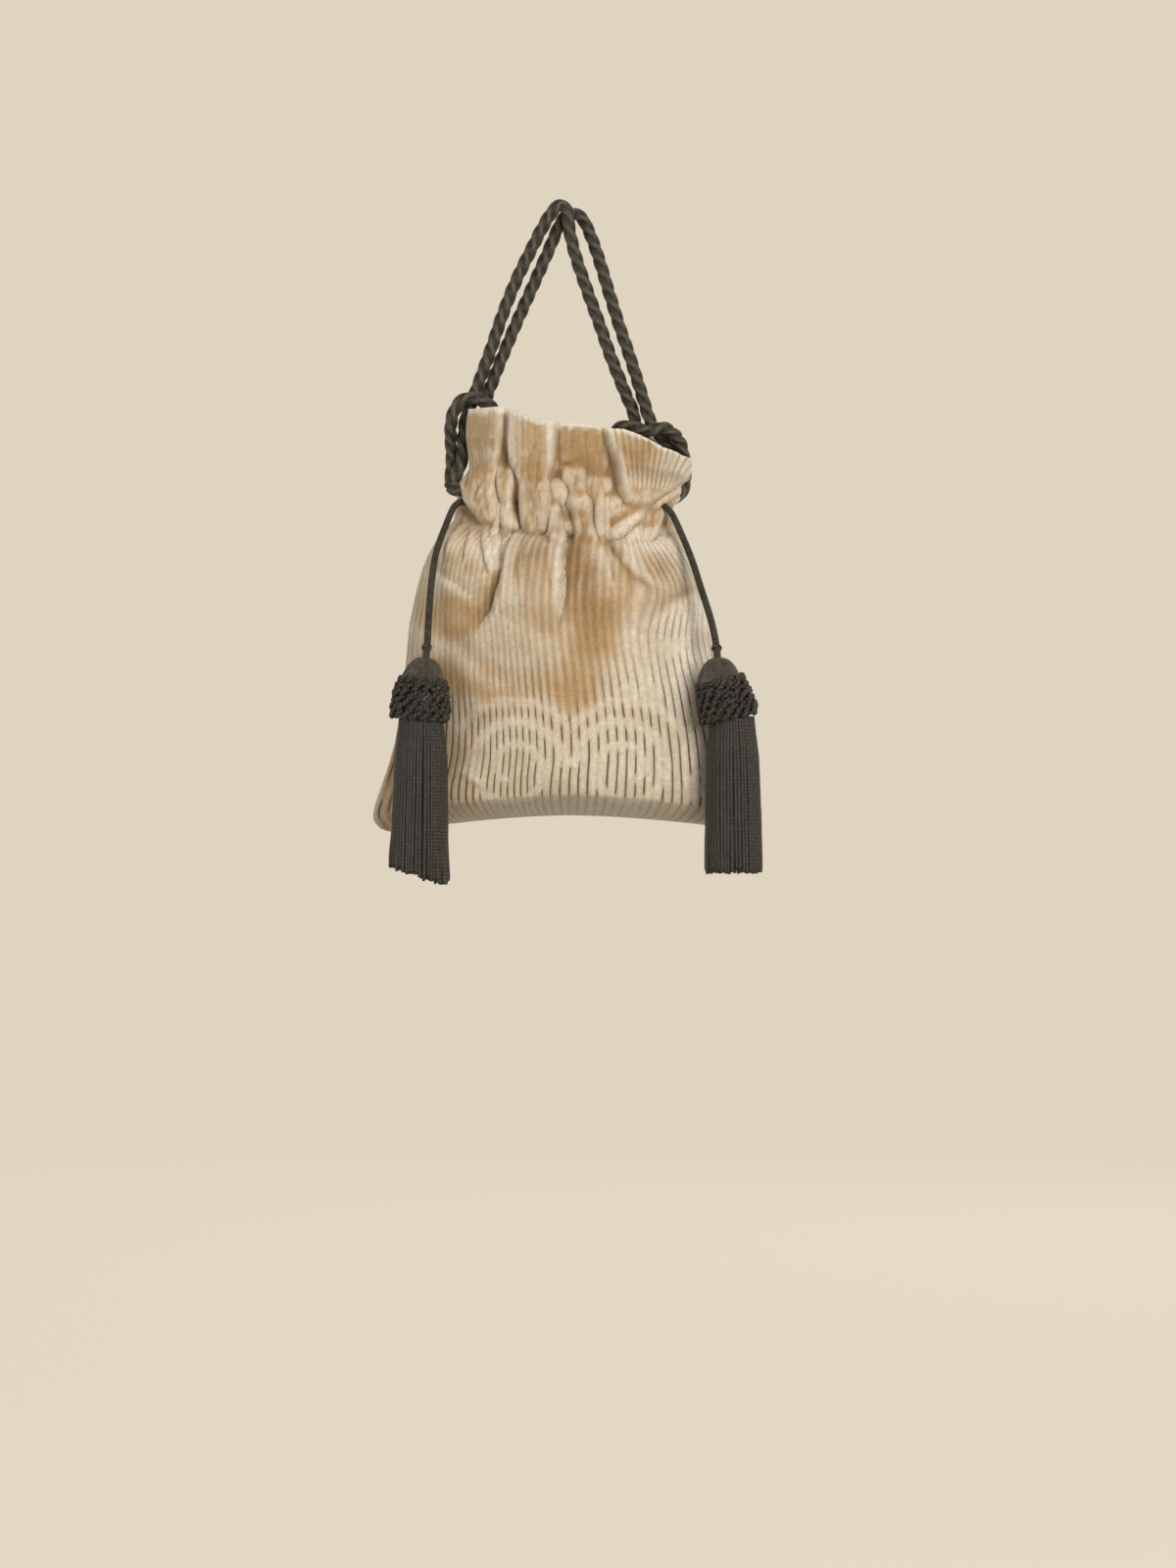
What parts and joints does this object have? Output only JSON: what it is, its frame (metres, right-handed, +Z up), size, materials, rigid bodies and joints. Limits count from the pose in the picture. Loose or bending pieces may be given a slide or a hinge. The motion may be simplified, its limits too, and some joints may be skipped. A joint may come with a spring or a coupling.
{
  "type": "drawstring pouch",
  "caption": "Soft velvet drawstring pouch with a gathered casing and frill, twisted cord handles and a tassel hanging at each side.",
  "frame": {"origin": "hang point under the top bends of the two handle cords", "axes": "+Z up along the hang line, +X to the right seen from the front, +Y from the front to the back"},
  "size_m": [0.198, 0.0901, 0.3474],
  "materials": {
    "velvet": "ribbed cut velvet, champagne with a tan shade where the nap turns",
    "cord": "twisted black rayon cord, soft satin",
    "tassel": "black rayon thread, soft satin"
  },
  "bodies": {
    "root": {"pouch": "velvet", "drawcord_front": "cord", "drawcord_back": "cord", "tassel_cord_left": "cord", "tassel_cord_right": "cord", "tassel_knot_left": "cord", "tassel_knot_right": "cord", "tassel_head_left": "tassel", "tassel_head_right": "tassel", "tassel_collar_left": "tassel", "tassel_collar_right": "tassel", "tassel_skirt_left": "tassel", "tassel_skirt_right": "tassel"}
  },
  "joints": []
}
